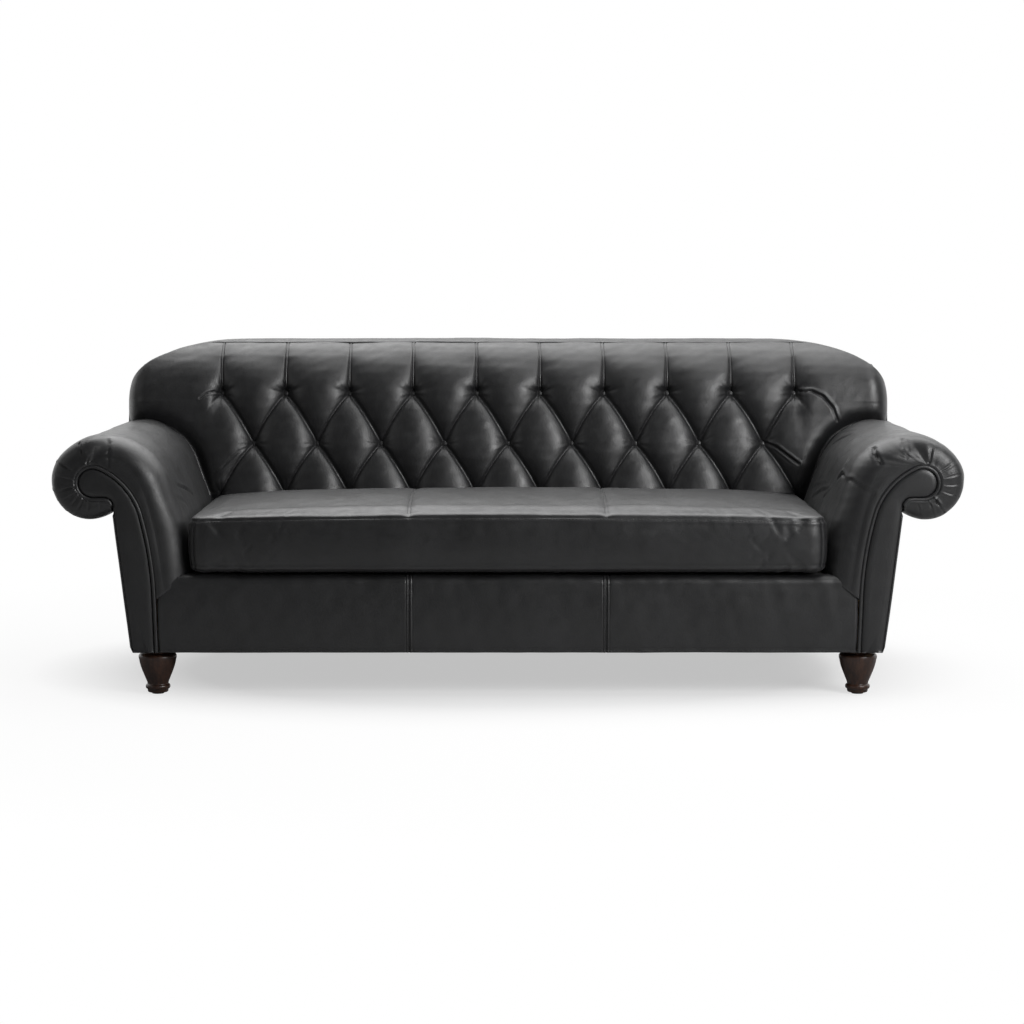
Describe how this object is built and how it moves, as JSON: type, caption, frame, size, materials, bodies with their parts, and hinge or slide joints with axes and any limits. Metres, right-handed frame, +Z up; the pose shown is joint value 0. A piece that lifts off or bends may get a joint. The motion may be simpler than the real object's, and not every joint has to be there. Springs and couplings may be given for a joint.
{
  "type": "chesterfield sofa",
  "caption": "Rolled-arm leather sofa with a deep-buttoned diamond back, one loose bench cushion and turned wooden legs.",
  "frame": {"origin": "on the floor under the middle of the sofa", "axes": "+X along the seat to the viewer's right, -Y out of the front, +Z up"},
  "size_m": [2.27, 0.98, 0.87],
  "materials": {
    "black_leather": "semi-aniline hide, soft sheen",
    "dark_leg_wood": "dark walnut stain, satin lacquer",
    "frame_timber": "planed, unfinished",
    "thin_board": "bent fibreboard",
    "upholstery_foam": "cut foam",
    "webbing": "woven elastic webbing",
    "base_cloth": "black non-woven cloth",
    "zinc_steel": "zinc plated",
    "glide_plastic": "moulded",
    "zip_tape_cloth": "woven tape",
    "zip_metal": "black oxide"
  },
  "bodies": {
    "sofa": {"arm_cover_left": "black_leather", "arm_cover_right": "black_leather", "arm_foam_left": "upholstery_foam", "arm_foam_right": "upholstery_foam", "arm_front_board_left": "frame_timber", "arm_front_board_right": "frame_timber", "arm_front_panel_left": "black_leather", "arm_front_panel_right": "black_leather", "arm_low_rail_left": "frame_timber", "arm_low_rail_right": "frame_timber", "arm_outside_panel_left": "black_leather", "arm_outside_panel_right": "black_leather", "arm_piping": "black_leather", "arm_rear_board_left": "frame_timber", "arm_rear_board_right": "frame_timber", "arm_rear_cap_left": "black_leather", "arm_rear_cap_right": "black_leather", "arm_roll_rail_left": "frame_timber", "arm_roll_rail_right": "frame_timber", "arm_skin_left": "thin_board", "arm_skin_right": "thin_board", "back_buttons": "black_leather", "back_end_panel_left": "black_leather", "back_end_panel_right": "black_leather", "back_foam": "upholstery_foam", "back_outside_panel": "black_leather", "back_post_left": "frame_timber", "back_post_right": "frame_timber", "back_rail": "frame_timber", "back_ribs": "frame_timber", "back_roll": "black_leather", "back_tacking_rail": "frame_timber", "back_top_rail": "frame_timber", "back_webbing": "webbing", "buttoned_back": "black_leather", "corner_blocks": "frame_timber", "cross_webbing": "webbing", "deck_cloth": "base_cloth", "deck_pad": "upholstery_foam", "dust_cloth": "base_cloth", "front_legs": "dark_leg_wood", "front_rail": "frame_timber", "front_rail_cover": "black_leather", "front_rail_pad": "upholstery_foam", "leg_bolts": "zinc_steel", "leg_glides": "glide_plastic", "leg_plates": "zinc_steel", "rear_corner_blocks": "frame_timber", "rear_legs": "dark_leg_wood", "seat_bearers": "frame_timber", "seat_webbing": "webbing", "side_rail_left": "frame_timber", "side_rail_right": "frame_timber"},
    "cushion": {"cushion_core": "upholstery_foam", "cushion_cover": "black_leather", "zip_tape": "zip_tape_cloth", "zip_teeth": "zip_metal"},
    "slider": {"zip_slider": "zip_metal"}
  },
  "joints": [
    {"name": "cushion_lift", "type": "slide", "parent": "sofa", "child": "cushion", "axis": [0, 0, 1], "range_m": [0, 0.6]},
    {"name": "zip_slide", "type": "slide", "parent": "cushion", "child": "slider", "axis": [-1, 0, 0], "range_m": [0, 1.04]}
  ]
}
